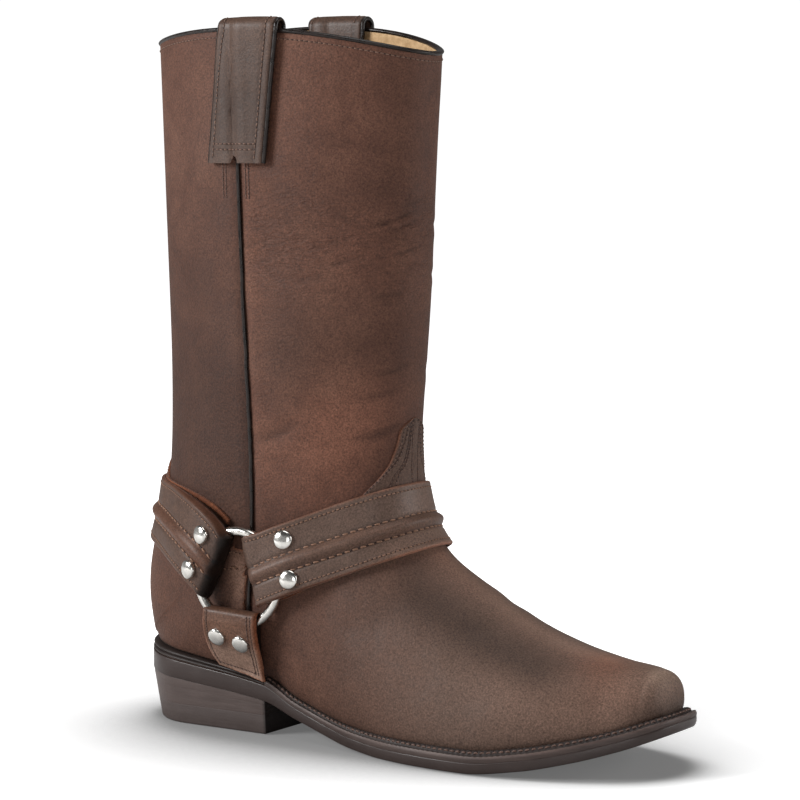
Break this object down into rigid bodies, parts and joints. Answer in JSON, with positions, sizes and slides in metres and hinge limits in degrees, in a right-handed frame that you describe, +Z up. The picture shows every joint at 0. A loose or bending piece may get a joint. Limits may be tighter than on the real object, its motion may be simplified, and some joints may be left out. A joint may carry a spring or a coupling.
{
  "type": "western boot",
  "caption": "Right western harness boot: hollow leather shaft and foot on a welted sole with a low stacked heel, ring and strap harness at the ankle, pull straps at the collar.",
  "frame": {"origin": "bottom centre of the overall box, on the floor the sole stands on", "axes": "+X to the toe, +Y to the wearer's left (the inner side of this right boot), +Z up the shaft"},
  "size_m": [0.3058, 0.1058, 0.3561],
  "materials": {
    "brown_leather": "brushed nap",
    "strap_leather": "waxed satin",
    "dark_piping_leather": "gloss",
    "dark_sole_leather": "satin edge",
    "tan_lining_leather": "rough",
    "heel_rubber": "satin",
    "nickel": "polished nickel"
  },
  "bodies": {
    "root": {"collar_binding": "dark_piping_leather", "front_strap": "strap_leather", "heel_counter": "brown_leather", "heel_rand": "dark_sole_leather", "heel_stack": "dark_sole_leather", "heel_top_lift": "heel_rubber", "insole": "tan_lining_leather", "lower_strap_left": "strap_leather", "lower_strap_right": "strap_leather", "outsole": "dark_sole_leather", "pull_strap_left": "strap_leather", "pull_strap_right": "strap_leather", "rear_strap": "strap_leather", "ring_left": "nickel", "ring_right": "nickel", "rivet_front_left_1": "nickel", "rivet_front_left_2": "nickel", "rivet_front_right_1": "nickel", "rivet_front_right_2": "nickel", "rivet_lower_left_1": "nickel", "rivet_lower_left_2": "nickel", "rivet_lower_right_1": "nickel", "rivet_lower_right_2": "nickel", "rivet_rear_left_1": "nickel", "rivet_rear_left_2": "nickel", "rivet_rear_right_1": "nickel", "rivet_rear_right_2": "nickel", "side_piping_left": "dark_piping_leather", "side_piping_right": "dark_piping_leather", "upper": "brown_leather", "vamp_tongue": "brown_leather", "welt": "dark_sole_leather"}
  },
  "joints": []
}
